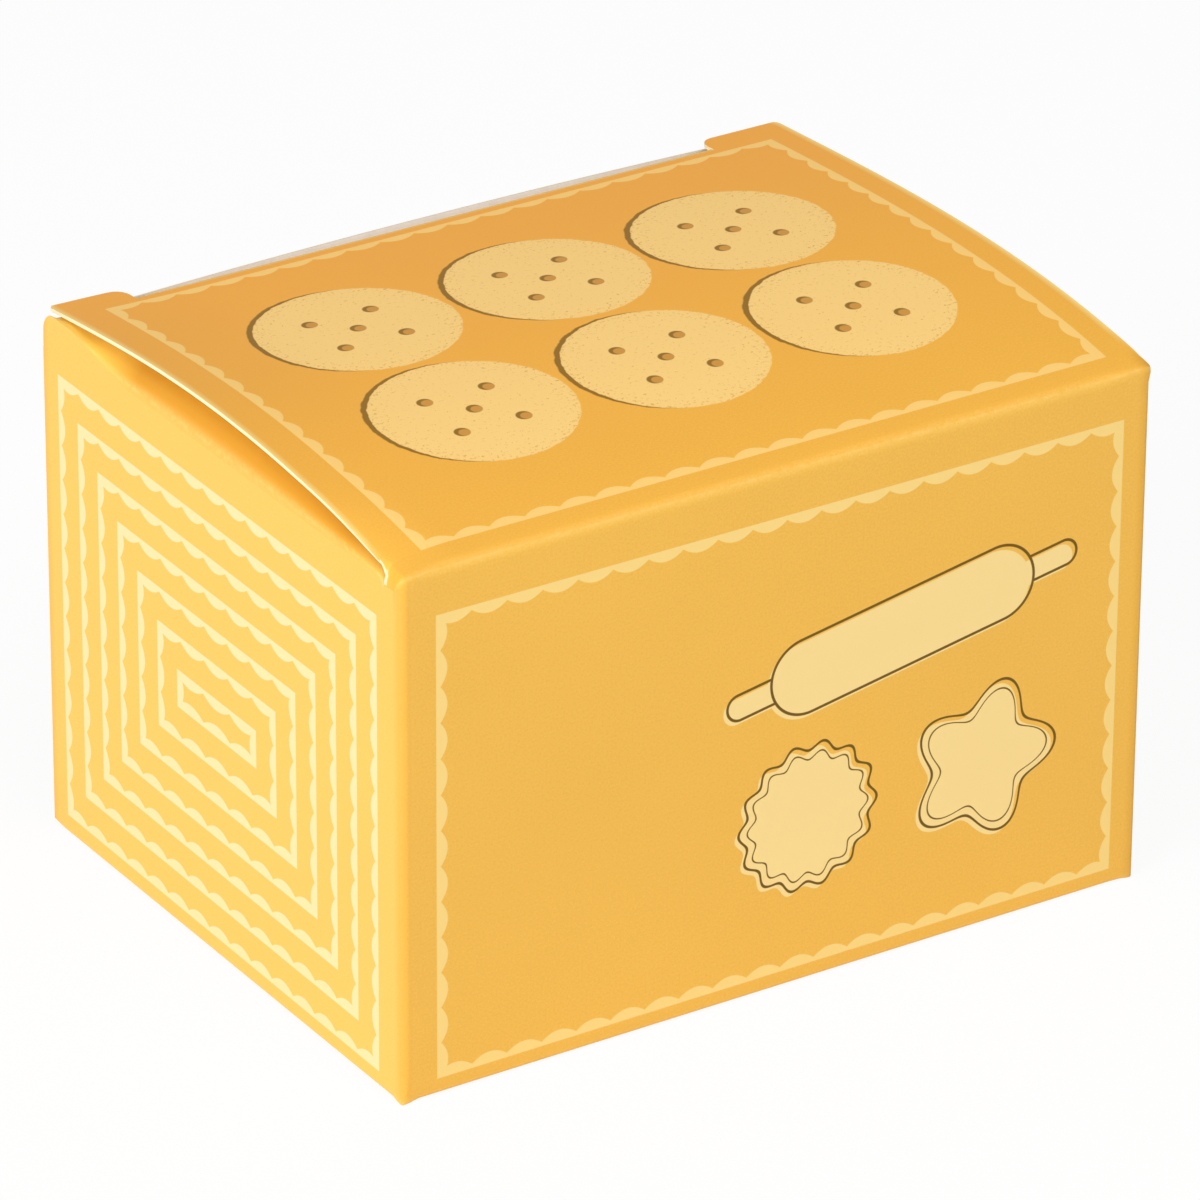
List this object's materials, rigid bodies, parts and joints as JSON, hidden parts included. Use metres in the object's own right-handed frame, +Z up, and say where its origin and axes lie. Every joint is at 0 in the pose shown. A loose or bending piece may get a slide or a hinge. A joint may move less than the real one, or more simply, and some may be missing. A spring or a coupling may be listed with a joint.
{
  "type": "boxed biscuit cutter",
  "caption": "Steel biscuit cutter with a fluted wall and a sprung, knob-driven ejector, standing in a folded board carton with a hinged tuck-in lid.",
  "frame": {"origin": "middle of the carton's base, on the surface it stands on", "axes": "+X along the carton's long side, +Y from the front panel to the back panel, +Z up; the front panel faces -Y"},
  "size_m": [0.084, 0.066, 0.0583],
  "materials": {
    "printed_board": "printed amber carton board, satin varnish",
    "plain_board": "unprinted carton board",
    "sheet_steel": "rolled stainless sheet, fine grain",
    "turned_steel": "turned and polished stainless",
    "spring_steel": "drawn spring wire"
  },
  "bodies": {
    "carton": {"front_panel": "printed_board", "back_panel": "printed_board", "left_end_panel": "printed_board", "right_end_panel": "printed_board", "glue_tab": "plain_board", "base_panel": "printed_board", "base_inner_panel": "plain_board", "base_flap_left": "plain_board", "base_flap_right": "plain_board"},
    "lid": {"lid_panel": "printed_board"},
    "tuck_flap": {"lid_tuck_flap": "printed_board"},
    "dust_flap_left": {"lid_dust_flap_left": "printed_board"},
    "dust_flap_right": {"lid_dust_flap_right": "printed_board"},
    "cutter": {"cutter_wall": "sheet_steel", "bridge_plate": "sheet_steel", "ejector_spring": "spring_steel"},
    "ejector": {"knob": "turned_steel", "plunger_rod": "turned_steel", "stop_collar": "turned_steel", "ejector_plate": "sheet_steel", "ejector_clip": "spring_steel", "docking_pin_1": "turned_steel", "docking_pin_2": "turned_steel", "docking_pin_3": "turned_steel", "docking_pin_4": "turned_steel", "docking_pin_5": "turned_steel", "docking_pin_6": "turned_steel"}
  },
  "joints": [
    {"name": "lid_open", "type": "hinge", "parent": "carton", "child": "lid", "pos_m": [0, -0.033, 0.054], "axis": [1, 0, 0], "range_deg": [0, 200]},
    {"name": "tuck_unfold", "type": "hinge", "parent": "lid", "child": "tuck_flap", "pos_m": [0, 0.032, 0.0557], "axis": [1, 0, 0], "range_deg": [0, 60]},
    {"name": "dust_flap_left_open", "type": "hinge", "parent": "carton", "child": "dust_flap_left", "pos_m": [-0.042, 0, 0.0543], "axis": [0, -1, 0], "range_deg": [0, 100]},
    {"name": "dust_flap_right_open", "type": "hinge", "parent": "carton", "child": "dust_flap_right", "pos_m": [0.042, 0, 0.0543], "axis": [0, 1, 0], "range_deg": [0, 100]},
    {"name": "cutter_lift", "type": "slide", "parent": "carton", "child": "cutter", "axis": [0, 0, 1], "range_m": [0, 0.0034]},
    {"name": "ejector_press", "type": "slide", "parent": "cutter", "child": "ejector", "axis": [0, 0, -1], "range_m": [0, 0.0055], "stiffness_N_per_m": 300, "springref_m": -0.004, "deforming": ["ejector_spring"]}
  ],
  "couplings": [
    {"joint": "tuck_unfold", "follows": "lid_open", "ratio": 0.3},
    {"joint": "dust_flap_left_open", "follows": "lid_open", "ratio": 0.5},
    {"joint": "dust_flap_right_open", "follows": "lid_open", "ratio": 0.5}
  ]
}
